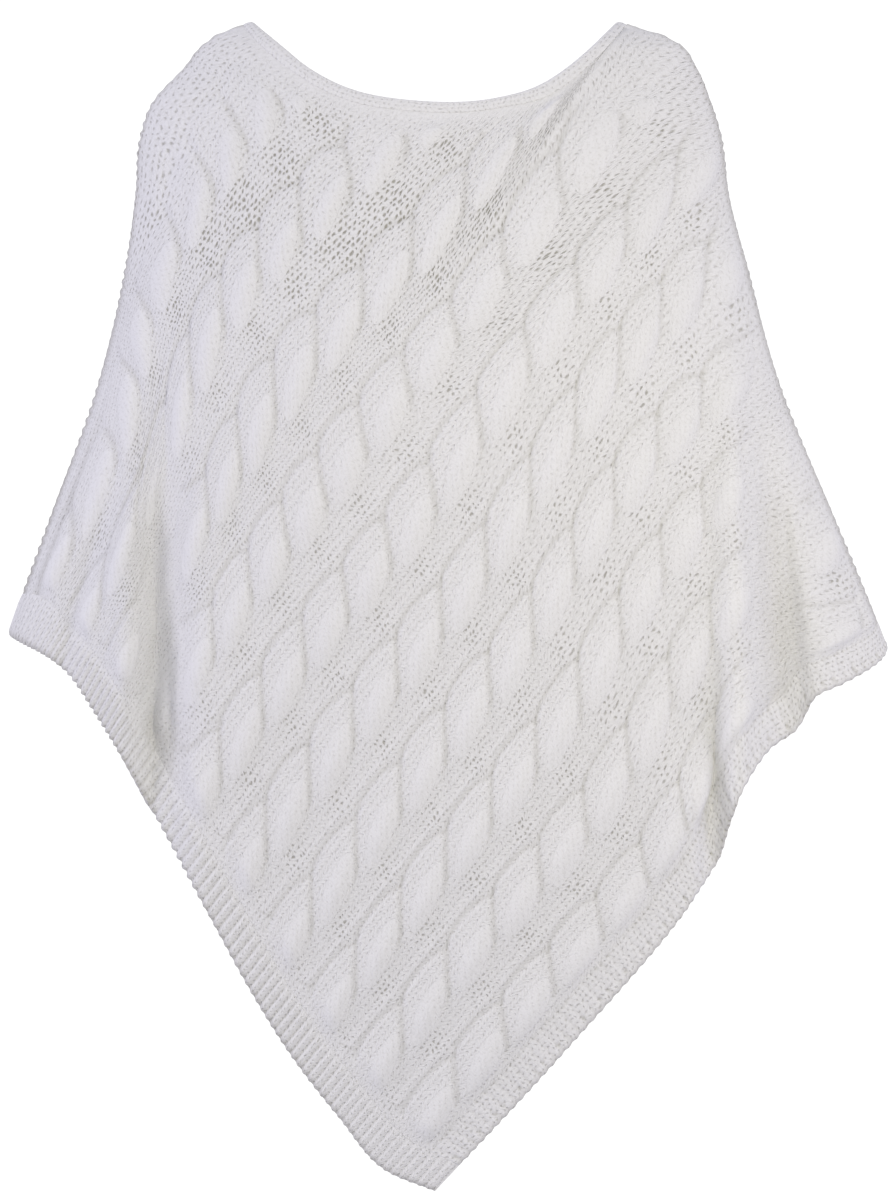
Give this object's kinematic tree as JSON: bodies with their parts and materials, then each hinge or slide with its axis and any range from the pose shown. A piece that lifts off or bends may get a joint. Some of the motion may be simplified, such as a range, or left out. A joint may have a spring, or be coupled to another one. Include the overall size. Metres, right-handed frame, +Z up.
{
  "type": "knitted poncho sweater",
  "caption": "Worn, hollow cable-knit poncho sweater with a boat neck, pointed hem, ribbed left hem and garter-stitch right hem.",
  "frame": {"origin": "between the shoulders, midway between the two tips of the neckline and 10 mm below them, where the wearer's shoulders hold it", "axes": "+Z up, -Y towards the front, +X across towards the right of the front view"},
  "size_m": [0.6772, 0.2482, 0.892],
  "materials": {
    "cable_knit": "matte white cable-knit yarn",
    "rib_knit": "matte white rib",
    "garter_knit": "matte white garter stitch",
    "neck_knit": "matte white bound-off band"
  },
  "bodies": {
    "root": {"front_panel": "cable_knit", "back_panel": "cable_knit", "front_rib_hem": "rib_knit", "back_rib_hem": "rib_knit", "front_garter_hem": "garter_knit", "back_garter_hem": "garter_knit", "front_neck_band": "neck_knit", "back_neck_band": "neck_knit"}
  },
  "joints": []
}
